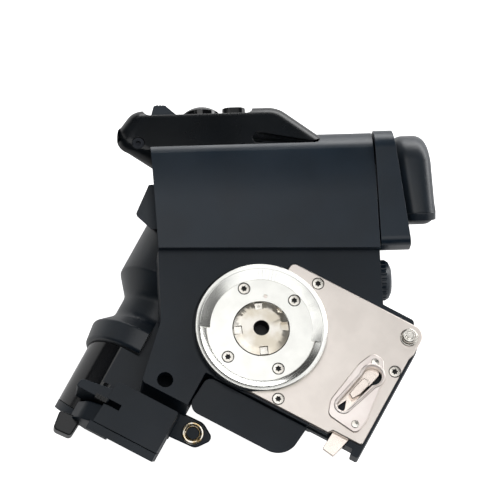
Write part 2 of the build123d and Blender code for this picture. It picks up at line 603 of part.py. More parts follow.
def make_cassette():
    """Battery carrier that slides out of the base, its cells, contacts and latch."""
    seat = below(BASE_Y + CAP_T, BASE_TOP_Z, UNDER_SLOPE)
    body = cassette_profile((-75.0, CELL_Y[1] + 2.6)) - seat
    body -= over_head_edge(1.0)
    mid = (CELL_Y[0] + CELL_Y[1]) / 2
    for x, z in cell_spots():
        body -= Pos(x, mid, z) * Rot(90, 0, 0) * Cylinder(CELL_R + 0.04, CELL_LENGTH + 0.2)
    keep("cassette_body", body)
    cap = grip_prism(BASE_R, BASE_RIGHT_X, (-75.0, -20.0))
    cap += prism([(-38.4, -75), (BASE_RIGHT_X, -75), (BASE_RIGHT_X, -30.0), (-38.4, -30.0)],
                 (BASE_TOP_Z, CHEEK_Z), radii=[0.8, 0.8, 0.8, 0.8])
    cap = cap & below(BASE_Y + CAP_T - 0.3, BASE_TOP_Z, UNDER_SLOPE)
    cap += cassette_profile((-75.0, -20.0)) & seat
    cap -= under_cut()
    keep("cassette_cap", cap)
    cells = []
    straps = []
    for x, z in cell_spots():
        can = Pos(x, mid - 0.2, z) * Rot(90, 0, 0) * Cylinder(CELL_R, CELL_LENGTH - 2.0)
        nub = Pos(x, CELL_Y[1] - 0.75, z) * Rot(90, 0, 0) * Cylinder(2.6, 1.3)
        cells.append(can + nub)
        straps.append(Pos(x, CELL_Y[0] + 0.35, z) * Rot(90, 0, 0) * Cylinder(4.2, 0.9))
    keep("battery_cells", group(cells))
    keep("cell_contacts", group(straps))
    x, y = LATCH_SLOT_X, LATCH_SLOT_Y
    latch = block((x[0] + 1.0, x[0] + 5.6), (y[0] + GAP, y[1] - GAP), (CHEEK_Z - 6.6, CHEEK_Z + 0.7))
    for k in range(3):
        latch -= block((x[0] + 1.8 + 1.2 * k, x[0] + 2.4 + 1.2 * k), (-90, 0), (CHEEK_Z + 0.3, 5))
    keep("base_latch", latch)


def make_strap_lug():
    """Tapered tab with a metal eyelet, on the side of the grip's base."""
    tab = prism([(0, -4.9), (0, 4.4), (9.4, 4.6), (13.4, 1.4), (10.4, -1.8)],
                (-1.3, 1.3), radii=[0.3, 0.3, 2.6, 1.4, 2.4])
    tab -= drum(7.2, 1.4, 2.6, (-3, 3))
    eye = drum(7.2, 1.4, 2.58, (-1.7, 1.7)) + drum(7.2, 1.4, 3.3, (1.3, 1.75))
    eye += drum(7.2, 1.4, 3.3, (-1.75, -1.3))
    eye -= drum(7.2, 1.4, 1.8, (-3, 3))
    place = Pos(BASE_RIGHT_X - 0.15, -42.6, -17.6) * Rot(LUG_LEAN, 0, 0)
    root = place * block((-2.0, 0.4), (-4.6, 4.1), (-1.3, 1.3))
    base = grip_prism(BASE_R, BASE_RIGHT_X, (-75.0, -25.8))
    base += block((-38.4, BASE_RIGHT_X), (-75, -41.0), (BASE_TOP_Z, CHEEK_Z))
    keep("strap_lug", place * tab + root - base)
    keep("strap_eyelet", place * eye)


LUG_LEAN = 22.0


# ---- the mating plate, ring and lock ------------------------------------------------------------------
DISC_SCREWS = [polar(16.25, a) for a in (70.0, 140.0, 250.0, 320.0)]
INDEX_HOLE = (-4.3, 11.6)
COVER_POINTS = [(36.0, -17.2), (48.4, -18.8), (49.6, -12.5), (47.6, 4.6), (44.2, 11.2), (39.6, 11.6),
                (37.0, 5.6), (34.2, -11.6)]
COVER_RADII = [2.8, 2.2, 8.0, 8.0, 3.0, 3.0, 12.0, 4.0]
COVER_T = 0.9
RIVETS = [(42.0, 8.6), (46.4, -15.6)]


def slot_cut(z):
    """The lock's keyhole: round at its upper end, with a narrower stem below it."""
    cut = drum(0.2, 8.0, 3.5, z) + drum(0, -7.4, 2.2, z)
    cut += prism([(-2.2, -7.4), (2.2, -7.4), (2.6, 7.0), (-2.9, 7.0)], z)
    return lock_place(cut)


def make_plate():
    """Steel mating plate with the coupling ring, the disc inside it and their screws."""
    plate = Pos(0, 0, -PLATE_T) * extrude(plate_outline(), PLATE_T)
    bevel = 0.35
    rim_edges = plate.faces().sort_by(Axis.Z)[-1].edges().filter_by(GeomType.LINE)
    plate = chamfer([e for e in rim_edges if e.length > 12], bevel)
    plate -= drum(0, 0, HUB_OPEN_R, (-5, 5))
    plate -= slot_cut((-5, 5))
    for x, y in PLATE_SCREWS:
        plate -= screw_hole(x, y, 0.0, 5.0)
    for x, y in STUD_SPOT:
        plate -= drum(x, y, 1.66, (-5, 5))
    for x, y in DISC_SCREWS:
        plate -= screw_hole(x, y, DISC_T, 5.0)
    for x, y in RIVETS:
        plate -= drum(x, y, 1.0, (-5, 5))
    keep("mount_plate", plate)
    keep("plate_screws", group([screw(x, y, 0.0, 5.0) for x, y in PLATE_SCREWS]))
    make_ring()
    disc = drum(0, 0, RING_IN_LOW - 0.05, (0, DISC_T)) - drum(0, 0, HUB_OPEN_R, (-1, 2))
    disc -= drum(*INDEX_HOLE, 0.75, (-1, 2))
    for x, y in DISC_SCREWS:
        disc -= screw_hole(x, y, DISC_T, 5.0)
    keep("coupling_disc", disc)
    keep("disc_screws", group([screw(x, y, DISC_T, 5.0) for x, y in DISC_SCREWS]))
    x, y = STUD_SPOT[0]
    stud = Pos(x, y, 0) * turned([
        (0, -5.0), (1.6, -5.0), (1.6, 0.0), (3.3, 0.0), (3.3, 0.5), (2.7, 0.7), (2.7, 2.7), (2.3, 3.1),
        (1.5, 3.1), (1.3, 2.8), (0, 2.8)])
    keep("locating_stud", stud)


def make_ring():
    """Bayonet ring: a flat land, a sloping inner wall, and lugs that step in from it."""
    ring = turned([
        (RING_IN_LOW, 0), (RING_R, 0), (RING_R, RING_TOP - 0.35), (RING_R - 0.35, RING_TOP),
        (RING_IN_TOP, RING_TOP), (RING_IN_LOW, 1.0)])
    lug = turned([
        (RING_IN_LOW, 0.9), (RING_IN_TOP, RING_TOP - 0.4), (RING_IN_TOP + 0.2, RING_TOP),
        (RING_IN_LOW + 0.1, RING_TOP), (RING_IN_LOW, 2.2)])
    for start, span in BAYONET_LUGS:
        wedge = Polyline((0, 0), polar(40, start), polar(40 / cos(radians(span / 2)), start + span / 2),
                         polar(40, start + span), close=True)
        ring += lug & (Pos(0, 0, -1) * extrude(make_face(wedge), 6))
    ring -= drum(10.1, 25.4, 2.9, (-1, 5))
    for a in (75.0, 345.0, 255.0):
        ring -= drum(*polar(22.7, a), 0.55, (RING_TOP - 0.5, RING_TOP + 1))
    keep("coupling_ring", ring)


BAYONET_LUGS = [(140.0, 78.0), (232.0, 92.0), (-18.0, 44.0)]


def make_drive_hub():
    """Driver that turns in the disc: a cone with slots, its keys and the gear on its shaft."""
    hub = turned([
        (DRIVE_BORE_R, HUB_TOP), (HUB_FACE_R, HUB_TOP), (HUB_R, 0.9), (HUB_R, -2.2),
        (HUB_SHAFT_R, -2.2), (HUB_SHAFT_R, GEAR_PLATE[0] + 0.2), (0, GEAR_PLATE[0] + 0.2),
        (0, HUB_TOP - DRIVE_BORE_DEPTH), (DRIVE_BORE_R, HUB_TOP - DRIVE_BORE_DEPTH)])
    keys = []
    for k in range(4):
        spin = Rot(0, 0, HUB_SLOT_ANGLE + 90 * k)
        hub -= spin * block((7.0, 12.0), (-HUB_SLOT_W / 2, HUB_SLOT_W / 2), (-0.6, 3.0))
        if k != 0:
            depth = 2.4 if k == 1 else 2.8
            key = block((7.1, 7.1 + depth), (-HUB_SLOT_W / 2 + 0.1, HUB_SLOT_W / 2 - 0.1), (-0.6, 1.1))
            if k == 1:
                key -= drum(8.3, 0, 0.35, (0.4, 2))
            keys.append(spin * key)
    hub -= Rot(0, 0, 74) * block((9.2, 9.9), (-1.1, 1.1), (-0.2, 2.0))
    keep("drive_hub", hub)
    keep("hub_keys", group(keys))
    wheel = gear(HUB_TEETH, 0, UPPER_GEARS) - drum(0, 0, HUB_SHAFT_R, (-20, 5))
    for k in range(6):
        wheel -= drum(*polar(11.2, 60 * k + 30), 3.0, (-20, 5))
    keep("hub_gear", wheel)


def make_lock():
    """Sliding lock: cover, rivets, lever in the keyhole and the tongue under the plate."""
    cover = prism(COVER_POINTS, (0, COVER_T), radii=COVER_RADII)
    cover = chamfer(cover.faces().sort_by(Axis.Z)[-1].edges(), 0.3)
    cover -= slot_cut((-1, 3))
    for x, y in RIVETS:
        cover -= drum(x, y, 1.0, (-1, 3))
    keep("lock_cover", cover)
    rivets = []
    for x, y in RIVETS:
        rivets.append(drum(x, y, 0.98, (-PLATE_T, COVER_T)) + Pos(x, y, 0) * turned([
            (0, COVER_T), (1.5, COVER_T), (1.3, COVER_T + 0.25), (0, COVER_T + 0.35)]))
    keep("cover_rivets", group(rivets))
    tongue = prism([(-3.9, 11.6), (-4.0, -12.5), (3.5, -16.0), (5.2, -23.9), (10.0, -23.4), (10.0, -15.0),
                    (7.0, -11.0), (2.4, -8.6), (1.4, 11.6)], (-3.6, -1.9),
                   radii=[1.5, 2.0, 1.0, 0.4, 0.4, 1.5, 1.0, 1.0, 1.5])
    tongue -= prism([(-2.0, -10.4), (1.6, -10.8), (0.9, -7.4), (-0.9, -4.6)], (-5, 0))
    keep("lock_tongue", lock_place(tongue))
    lever = prism([(-1.5, -2.6), (0.8, -3.4), (1.7, 0.0), (1.7, 5.4), (-1.8, 6.2), (-1.8, 1.0)],
                  (-1.9, 0.45), radii=[0.5, 0.5, 1.2, 1.4, 1.4, 1.0])
    lever = chamfer(lever.faces().sort_by(Axis.Z)[-1].edges(), 0.3)
    keep("lock_lever", lock_place(lever))


# ---- gear train, motor and electronics ------------------------------------------------------------------
def make_drive_train():
    """Idler and pinion on the gear plate, the motor under it, and the hub's bush."""
    idler_x, idler_y = polar(GEAR_MODULE * (HUB_TEETH + IDLER_SMALL) / 2, IDLER_DIRECTION)
    reach = GEAR_MODULE * (IDLER_LARGE + PINION_TEETH) / 2
    dx, dy = polar(reach, PINION_DIRECTION)
    motor_x, motor_y = idler_x + dx, idler_y + dy
    shaft_r = 1.5
    small_phase = IDLER_DIRECTION + 180 + 180 / IDLER_SMALL
    pinion_phase = PINION_DIRECTION + 180 + 180 / PINION_TEETH
    idler = gear(IDLER_SMALL, small_phase, UPPER_GEARS, idler_x, idler_y)
    idler += drum(idler_x, idler_y, 4.5, (LOWER_GEARS[1], UPPER_GEARS[0]))
    idler += gear(IDLER_LARGE, PINION_DIRECTION, LOWER_GEARS, idler_x, idler_y)
    idler -= drum(idler_x, idler_y, shaft_r + RUN, (-20, 5))
    keep("idler_gear", idler)
    keep("idler_shaft", drum(idler_x, idler_y, shaft_r, (GEAR_PLATE[0], -4.4)))
    pinion = gear(PINION_TEETH, pinion_phase, LOWER_GEARS, motor_x, motor_y)
    pinion += drum(motor_x, motor_y, 1.0, (GEAR_PLATE[0] - 8.0, LOWER_GEARS[0]))
    keep("motor_pinion", pinion)
    outline = [(-3.0, -21.3), (20.0, -21.3), (26.0, -16.0), (29.6, -8.0), (29.6, 18.0), (26.0, 31.0),
               (10.0, 32.0), (-4.0, 24.0), (-10.0, 12.0), (-10.0, -12.0)]
    plate = prism(outline, GEAR_PLATE, radii=2.0)
    plate -= drum(0, 0, 7.0, (-20, 5))
    plate -= drum(motor_x, motor_y, 3.2, (-20, 5))
    plate -= drum(idler_x, idler_y, shaft_r, (-20, 5))
    keep("gear_plate", plate)
    bush = drum(0, 0, 6.98, GEAR_PLATE) + drum(0, 0, 8.4, (GEAR_PLATE[1], GEAR_PLATE[1] + 0.8))
    bush -= drum(0, 0, HUB_SHAFT_R + RUN, (-20, 5))
    keep("hub_bush", bush)
    top = GEAR_PLATE[0]
    can = drum(motor_x, motor_y, MOTOR_R, (top - MOTOR_LENGTH, top))
    can -= drum(motor_x, motor_y, 1.0 + RUN, (top - 8.5, 5))
    flats_apart = 10.6
    can = can & block((motor_x - 20, motor_x + 20), (motor_y - flats_apart, motor_y + flats_apart), (-60, 5))
    keep("motor_can", can)
    keep("motor_end_cap", drum(motor_x, motor_y, 8.0, (top - MOTOR_LENGTH - 2.0, top - MOTOR_LENGTH)))
    posts = [drum(x, y, 1.5, (GEAR_PLATE[1], -4.0)) for x, y in GEAR_POSTS]
    keep("gear_plate_posts", group(posts))


GEAR_POSTS = [(27.2, -4.0), (24.0, 29.6), (6.0, -19.8)]


def make_electronics():
    """Circuit board in the head, with its parts."""
    board = block((-20.0, 38.0), (38.0, 66.0), (-22.0, -20.4))
    keep("circuit_board", tilt(board))
    chips = [tilt(block((-14, -2), (44, 56), (-20.4, -18.2))),
             tilt(block((6, 14), (42, 50), (-20.4, -18.6))),
             tilt(Pos(26, 54, -13.4) * Cylinder(5.0, 14.0)),
             tilt(Pos(26, 43.5, -14.9) * Cylinder(4.0, 11.0))]
    keep("board_parts", group(chips))


def make_dial():
    """Rear selector knob: a domed, finely ribbed dial on a short shaft through the wall."""
    knob = turned([(0, 0.3), (DIAL_R, 0.3), (DIAL_R, 2.6), (DIAL_R - 0.8, 3.9), (DIAL_R - 2.6, 4.8), (0, 5.3)])
    for k in range(24):
        knob -= drum(*polar(DIAL_R + 0.35, 15 * k), 0.6, (-1, 8))
    knob += drum(0, 0, 2.0, (-5.0, 0.4))
    collar = drum(0, 0, 3.6, (-5.0, -WALL - GAP)) - drum(0, 0, 2.0, (-8, 5))
    place = Pos(REAR_U, DIAL_V, DIAL_Z) * Rot(0, 90, 0)
    keep("mode_dial", tilt(place * knob))
    keep("dial_collar", tilt(place * collar))


make_head()
make_rear()
make_hump()
make_controls()
make_inner_housing()
make_gear_box_cover()
make_outer_housing()
make_grip_shell()
make_finger_grip()
make_cassette()
make_strap_lug()
make_plate()
make_drive_hub()
make_lock()
make_drive_train()
make_electronics()
make_dial()

os.makedirs("parts", exist_ok=True)
for name, shape in parts.items():
    export_step(shape, f"parts/{name}.step")
print(len(parts), "nodes written")
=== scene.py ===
# %% [markdown]
# # A motor winder with a hand grip
# This lesson dresses a finished CAD model of a camera's motor winder. The CAD holds every size
# and every moving joint, so nothing here is moved or resized. What is added is what a moulder,
# a plater and a lathe leave behind: eased edges, soft pads, turned steel and satin black plastic.

# %% Load the frame
import json
import math

import bpy
from mathutils import Matrix, Vector

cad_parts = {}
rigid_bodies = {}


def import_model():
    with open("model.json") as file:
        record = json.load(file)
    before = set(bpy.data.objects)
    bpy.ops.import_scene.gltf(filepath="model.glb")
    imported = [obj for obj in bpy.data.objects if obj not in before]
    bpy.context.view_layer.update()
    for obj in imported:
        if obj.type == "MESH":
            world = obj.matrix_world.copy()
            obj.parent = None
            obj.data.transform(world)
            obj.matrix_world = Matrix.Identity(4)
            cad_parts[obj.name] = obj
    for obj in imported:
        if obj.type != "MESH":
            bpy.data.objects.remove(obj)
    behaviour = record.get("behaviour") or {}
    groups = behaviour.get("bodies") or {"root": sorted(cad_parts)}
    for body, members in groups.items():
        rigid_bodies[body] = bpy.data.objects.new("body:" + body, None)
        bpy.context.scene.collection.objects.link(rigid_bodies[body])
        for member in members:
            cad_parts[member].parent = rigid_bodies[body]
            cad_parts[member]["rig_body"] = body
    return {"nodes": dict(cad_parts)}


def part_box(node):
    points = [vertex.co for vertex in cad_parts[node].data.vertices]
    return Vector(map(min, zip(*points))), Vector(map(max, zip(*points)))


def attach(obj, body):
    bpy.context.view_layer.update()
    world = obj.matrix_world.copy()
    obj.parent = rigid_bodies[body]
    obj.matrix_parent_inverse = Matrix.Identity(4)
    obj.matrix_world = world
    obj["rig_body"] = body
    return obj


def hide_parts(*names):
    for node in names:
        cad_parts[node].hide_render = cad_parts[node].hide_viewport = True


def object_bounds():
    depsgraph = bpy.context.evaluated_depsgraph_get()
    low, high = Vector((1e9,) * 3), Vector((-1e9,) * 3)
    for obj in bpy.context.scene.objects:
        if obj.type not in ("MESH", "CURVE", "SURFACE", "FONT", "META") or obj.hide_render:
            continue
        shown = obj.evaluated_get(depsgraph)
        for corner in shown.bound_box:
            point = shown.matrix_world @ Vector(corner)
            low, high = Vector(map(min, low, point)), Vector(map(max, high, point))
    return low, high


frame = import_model()
cad_low, cad_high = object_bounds()
nodes = frame["nodes"]
print("CAD nodes:", len(nodes), "and the box is", [round(1000 * s) for s in cad_high - cad_low], "mm")

# %% [markdown]
# The winder's head is tilted on its plate. Most of the shapes that follow belong either to the
# plate, whose axes are the row's, or to the head, whose own axes u and v are turned by the tilt.
# One function carries a head position to the row, so pieces can be drawn square and then turned.

# %% Units and the head's axes
MM = 0.001
HEAD_TILT = math.radians(30.8)
HEAD_TURN = Matrix.Rotation(HEAD_TILT, 4, "Z")
PLATE_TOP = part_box("mount_plate")[1].z
FLOOR_Z = cad_low.z


def head_spot(u, v, z):
    """A place on the head, from its u, v and z in millimetres to metres in the row."""
    return HEAD_TURN @ Vector((u * MM, v * MM, z * MM))


print("the plate's face is at", round(PLATE_TOP / MM, 2), "mm and the floor at", round(FLOOR_Z / MM, 1))

# %% [markdown]
# The camera comes first. The object lies on its outboard side and is seen almost from above, a
# little from the front and from below, with the camera rolled so that the plate's edge slants.
# A long lens far away gives the flat, nearly parallel look of a product shot.

# %% Camera
LOOKS_AT = Vector((-17.2, 23.9, 2.6)) * MM
SEEN_WIDTH = 180.7 * MM
DISTANCE = 3.0
SENSOR = 36.0
toward_camera = Vector((0.0830, -0.3148, 0.9455)).normalized()
camera_right = Vector((0.8840, 0.4613, 0.0760))
camera_right = (camera_right - camera_right.dot(toward_camera) * toward_camera).normalized()
camera_up = toward_camera.cross(camera_right)

camera_data = bpy.data.cameras.new("camera")
camera_data.sensor_width = SENSOR
camera_data.lens = SENSOR * DISTANCE / SEEN_WIDTH
camera_data.clip_end = 20.0
camera = bpy.data.objects.new("camera", camera_data)
bpy.context.scene.collection.objects.link(camera)
turn = Matrix((camera_right, camera_up, toward_camera)).transposed().to_4x4()
camera.matrix_world = Matrix.Translation(LOOKS_AT + toward_camera * DISTANCE) @ turn
bpy.context.scene.camera = camera
print("lens", round(camera_data.lens), "mm at", DISTANCE, "m")

# %% [markdown]
# A light table and softboxes suit a black object with bright steel on it. The glowing floor keeps
# the background clean and draws thin bright rims along every lower edge. One large softbox hangs
# where the flat faces mirror it, and a strip beyond the head is aimed at the rounded top edges.

# %% Floor and lights
bpy.context.scene.view_settings.view_transform = "Standard"
bpy.context.scene.view_settings.look = "None"
FLOOR_SIZE, FLOOR_GAP = 8.0, 0.2 * MM
bpy.ops.object.select_all(action="DESELECT")
bpy.ops.mesh.primitive_plane_add(size=FLOOR_SIZE, location=(0, 0, FLOOR_Z - FLOOR_GAP))
floor = bpy.context.object
floor.name = "floor"


WATTS_PER_RADIANCE = 4.0


def softbox(name, direction, distance, size, radiance):
    """A rectangular light that faces the object from a direction, with a given brightness."""
    width, height = size
    data = bpy.data.lights.new(name, "AREA")
    data.shape = "RECTANGLE"
    data.size = width
    data.size_y = height
    data.energy = radiance * width * height * WATTS_PER_RADIANCE
    light = bpy.data.objects.new(name, data)
    bpy.context.scene.collection.objects.link(light)
    way = Vector(direction).normalized()
    light.location = LOOKS_AT + way * distance
    light.rotation_euler = way.to_track_quat("Z", "Y").to_euler()


softbox("overhead_softbox", (-0.04, -0.075, 1.0), 0.70, (0.96, 0.58), 1.26)
softbox("top_strip", (0.10, 1.0, 0.14), 0.80, (1.50, 0.34), 4.6)
softbox("rear_strip", (0.90, 0.25, 0.42), 0.80, (0.60, 0.70), 1.0)
softbox("front_strip", (-0.95, 0.10, 0.40), 0.80, (0.14, 0.60), 1.0)

world = bpy.data.worlds.new("studio")
bpy.context.scene.world = world
world.use_nodes = True

# %% One function for every shader node
def add(tree, kind, inputs=None, links=None, **settings):
    """Add a shader node with its settings, its socket values and what is linked into it."""
    node = tree.nodes.new(kind)
    for key, value in settings.items():
        setattr(node, key, value)
    for socket, value in (inputs or {}).items():
        node.inputs[socket].default_value = value
    for socket, source in (links or {}).items():
        tree.links.new(source, node.inputs[socket])
    return node


def linear(hex_colour):
    """An sRGB hex colour as the linear red, green, blue and alpha that Blender takes."""
    channels = [int(hex_colour[i:i + 2], 16) / 255 for i in (1, 3, 5)]
    return [c / 12.92 if c <= 0.04045 else ((c + 0.055) / 1.055) ** 2.4 for c in channels] + [1.0]


sky = world.node_tree
sky.nodes.clear()
path = add(sky, "ShaderNodeLightPath")
dim = add(sky, "ShaderNodeBackground", {"Color": linear("#FFFFFF"), "Strength": 0.04})
bright = add(sky, "ShaderNodeBackground", {"Color": linear("#FFFFFF"), "Strength": 1.0})
seen = add(sky, "ShaderNodeMixShader", links={0: path.outputs["Is Camera Ray"], 1: dim.outputs[0],
                                              2: bright.outputs[0]})
add(sky, "ShaderNodeOutputWorld", links={"Surface": seen.outputs[0]})
print("world: dim for the lighting, white where the camera looks past the floor")

# %% [markdown]
# Every finish below has the same start: a Principled shader, object coordinates in metres, and a
# fine relief through a bump. A Bevel node in front of the bump rounds the light on tight edges
# that are too small to model. Scales are worked out from real sizes, so a cell of a pattern that
# is 0.5 mm across has a scale of one over 0.5 mm.

# %% The start of a finish
EDGE_SOFTNESS = 0.22 * MM


def finish(name, colour, roughness, metallic=0.0, **sockets):
    """A new material with a Principled shader; returns it with its tree, shader and coordinates."""
    material = bpy.data.materials.new(name)
    material.use_nodes = True
    tree = material.node_tree
    tree.nodes.clear()
    shader = add(tree, "ShaderNodeBsdfPrincipled", {"Base Color": linear(colour), "Roughness": roughness,
                                                    "Metallic": metallic, **sockets})
    add(tree, "ShaderNodeOutputMaterial", links={"Surface": shader.outputs["BSDF"]})
    coordinates = add(tree, "ShaderNodeTexCoord").outputs["Object"]
    material.diffuse_color = linear(colour)
    return material, tree, shader, coordinates


def relief(tree, shader, height, depth, strength=1.0, edge=EDGE_SOFTNESS):
    """Raise the surface by a pattern, over edges that a Bevel node has softened."""
    soft = add(tree, "ShaderNodeBevel", {"Radius": edge}, samples=4)
    bump = add(tree, "ShaderNodeBump", {"Distance": depth, "Strength": strength},
               {"Height": height, "Normal": soft.outputs["Normal"]})
    tree.links.new(bump.outputs["Normal"], shader.inputs["Normal"])


def vary(tree, shader, coordinates, first, second, size):
    """Drift the colour between two tones in patches of a real size."""
    noise = add(tree, "ShaderNodeTexNoise", {"Scale": 1 / size, "Detail": 4.0, "Roughness": 0.5},
                {"Vector": coordinates})
    ramp = add(tree, "ShaderNodeMapRange", {"From Min": 0.4, "From Max": 0.6},
               {"Value": noise.outputs["Fac"]})
    mix = add(tree, "ShaderNodeMix", {6: linear(first), 7: linear(second)}, {0: ramp.outputs["Result"]},
              data_type="RGBA")
    tree.links.new(mix.outputs[2], shader.inputs["Base Color"])


print("edges are softened by", EDGE_SOFTNESS / MM, "mm")

# %% [markdown]
# The housings are injection-moulded ABS with a fine spark-eroded grain, which scatters the
# softbox into a broad dull sheen. The grain's pits are about 0.05 mm across, too fine to show,
# so they are drawn at 0.35 mm with a low relief.

# %% Moulded ABS of the housings
GRAIN = 0.35 * MM
HANDLING = 26 * MM


def moulded_abs(name, dark, light, roughness, grain_depth, ior=1.46):
    """Satin black moulding: a blue-black that drifts a little, with a fine grain and signs of handling."""
    material, tree, shader, coordinates = finish(name, dark, roughness, IOR=ior)
    vary(tree, shader, coordinates, dark, light, 18 * MM)
    grain = add(tree, "ShaderNodeTexNoise", {"Scale": 1 / GRAIN, "Detail": 2.0}, {"Vector": coordinates})
    handling = add(tree, "ShaderNodeTexNoise", {"Scale": 1 / HANDLING, "Detail": 5.0},
                   {"Vector": coordinates})
    rubbed = add(tree, "ShaderNodeMapRange", {"From Min": 0.35, "From Max": 0.7, "To Min": roughness - 0.03,
                                              "To Max": roughness + 0.04}, {"Value": handling.outputs["Fac"]})
    tree.links.new(rubbed.outputs["Result"], shader.inputs["Roughness"])
    relief(tree, shader, grain.outputs["Fac"], grain_depth, strength=0.6)
    return material


housing_abs = moulded_abs("moulded_abs_housing", "#0C1B27", "#0F1F2C", 0.34, 0.012 * MM)
panel_abs = moulded_abs("moulded_abs_panel", "#0A1620", "#0C1924", 0.42, 0.012 * MM, ior=1.39)
hump_abs = moulded_abs("moulded_abs_polished", "#060A0E", "#090E13", 0.27, 0.005 * MM, ior=1.42)
base_abs = moulded_abs("moulded_abs_gloss", "#07090C", "#0A0C10", 0.16, 0.003 * MM)
carrier_abs = moulded_abs("moulded_abs_carrier", "#0B0D10", "#101317", 0.42, 0.012 * MM)
print("grain drawn at", GRAIN / MM, "mm")

# %% [markdown]
# The finger grip and the thumb pad are thermoplastic rubber moulded over the shell. It is rougher
# than the ABS and gives a little velvet sheen at grazing angles, over a fine leather-like pebble.

# %% Soft rubber of the grip and pad
PEBBLE = 0.8 * MM


def soft_rubber(name, dark, light, roughness):
    """Overmoulded rubber with a shallow pebble grain and a sheen."""
    material, tree, shader, coordinates = finish(name, dark, roughness, IOR=1.5, **{"Sheen Weight": 0.12,
                                                                                    "Sheen Roughness": 0.4})
    vary(tree, shader, coordinates, dark, light, 14 * MM)
    pebble = add(tree, "ShaderNodeTexVoronoi", {"Scale": 1 / PEBBLE}, {"Vector": coordinates},
                 feature="SMOOTH_F1")
    relief(tree, shader, pebble.outputs["Distance"], 0.02 * MM, strength=0.5)
    return material


grip_rubber = soft_rubber("thermoplastic_rubber", "#0C1720", "#101C27", 0.38)
print("pebble", PEBBLE / MM, "mm")

# %% [markdown]
# The release button is polished ABS: smooth, with one clean reflection.

# %% Polished ABS of the button
button_abs, tree, shader, coordinates = finish("polished_abs_button", "#08090B", 0.07, IOR=1.53)
vary(tree, shader, coordinates, "#08090B", "#0C0D10", 6 * MM)
waves = add(tree, "ShaderNodeTexNoise", {"Scale": 1 / (3 * MM)}, {"Vector": coordinates})
relief(tree, shader, waves.outputs["Fac"], 0.002 * MM, strength=0.4, edge=0.4 * MM)
print("button finish ready")

# %% [markdown]
# The mating plate is stainless steel, bead blasted and slightly warm. Blasting leaves tiny dimples
# that widen each highlight evenly. The ring is turned and then satin chromed; ring, disc and hub
# keep shallow waves round the drive axis. A lathe's own marks are far closer together than these.
# The wave texture runs twenty radians for each unit, which is where its scale comes from.

# %% Steel of the plate, ring, disc and hub
BLAST = 0.30 * MM
TURNING = 0.9 * math.pi * MM
WAVE_RADIANS = 20.0


def blasted_steel(name, first, second, roughness):
    """Bead-blasted steel: a soft even metal with a cloudy drift of tone."""
    material, tree, shader, coordinates = finish(name, first, roughness, metallic=1.0)
    vary(tree, shader, coordinates, first, second, 12 * MM)
    dimples = add(tree, "ShaderNodeTexVoronoi", {"Scale": 1 / BLAST}, {"Vector": coordinates})
    relief(tree, shader, dimples.outputs["Distance"], 0.008 * MM, strength=0.5, edge=0.12 * MM)
    return material


def turned_steel(name, first, second, roughness, marks_depth):
    """Steel turned about the drive axis, with shallow concentric waves."""
    material, tree, shader, coordinates = finish(name, first, roughness, metallic=1.0)
    vary(tree, shader, coordinates, first, second, 7 * MM)
    scale = 2 * math.pi / (WAVE_RADIANS * TURNING)
    rings = add(tree, "ShaderNodeTexWave", {"Scale": scale, "Distortion": 0.25, "Detail": 1.0},
                {"Vector": coordinates}, wave_type="RINGS", rings_direction="Z")
    relief(tree, shader, rings.outputs["Fac"], marks_depth, strength=0.6, edge=0.12 * MM)
    return material


plate_steel = blasted_steel("bead_blasted_steel", "#EBE3DC", "#E4DCD5", 0.36)
ring_chrome = turned_steel("satin_chromed_ring", "#E9E9E4", "#DEDEDA", 0.26, 0.004 * MM)
disc_steel = turned_steel("turned_steel_disc", "#F3F3EE", "#EBEBE6", 0.30, 0.006 * MM)
hub_steel = turned_steel("turned_steel_hub", "#E4E0D8", "#D0C8B8", 0.28, 0.006 * MM)
cover_steel = blasted_steel("tumbled_steel", "#EDE5E0", "#E4DAD5", 0.28)
tongue_steel = blasted_steel("ground_steel", "#F2E8DF", "#E6DBD2", 0.24)
print("waves", round(TURNING / MM, 2), "mm apart, blasting dimples", BLAST / MM, "mm")

# %% [markdown]
# Small metal parts: bright stainless screws and rivets, nickel on the brass eyelet that wears
# through to the yellow metal, zinc on the motor's can, brass and acetal gears, and spring steel.

# %% Small metals
SCRATCH = 0.9 * MM


def small_metal(name, first, second, roughness, patch=2.5 * MM):
    """A small machined part: two close tones in patches, and light handling scratches."""
    material, tree, shader, coordinates = finish(name, first, roughness, metallic=1.0)
    vary(tree, shader, coordinates, first, second, patch)
    stretch = add(tree, "ShaderNodeMapping", {"Scale": (1.0, 8.0, 1.0), "Rotation": (0.0, 0.0, 0.6)},
                  {"Vector": coordinates})
    scratches = add(tree, "ShaderNodeTexNoise", {"Scale": 1 / SCRATCH, "Detail": 3.0},
                    {"Vector": stretch.outputs["Vector"]})
    relief(tree, shader, scratches.outputs["Fac"], 0.003 * MM, strength=0.5, edge=0.1 * MM)
    return material


stainless = small_metal("stainless_steel", "#E4E1DA", "#CFCBC3", 0.22)
nickel_brass = small_metal("nickel_on_brass", "#E2DDD2", "#C2A878", 0.18, patch=1.6 * MM)
black_zinc = small_metal("black_zinc_steel", "#2A2C30", "#202226", 0.35)
zinc_steel = small_metal("zinc_plated_steel", "#B9BCBF", "#A5A9AE", 0.30, patch=6 * MM)
gear_brass = small_metal("gear_brass", "#C9A659", "#B08F47", 0.27)
spring_steel = small_metal("spring_steel", "#8F9296", "#7B7E82", 0.25)
bronze = small_metal("sintered_bronze", "#A9784A", "#8C6340", 0.45)
print("small metals ready")

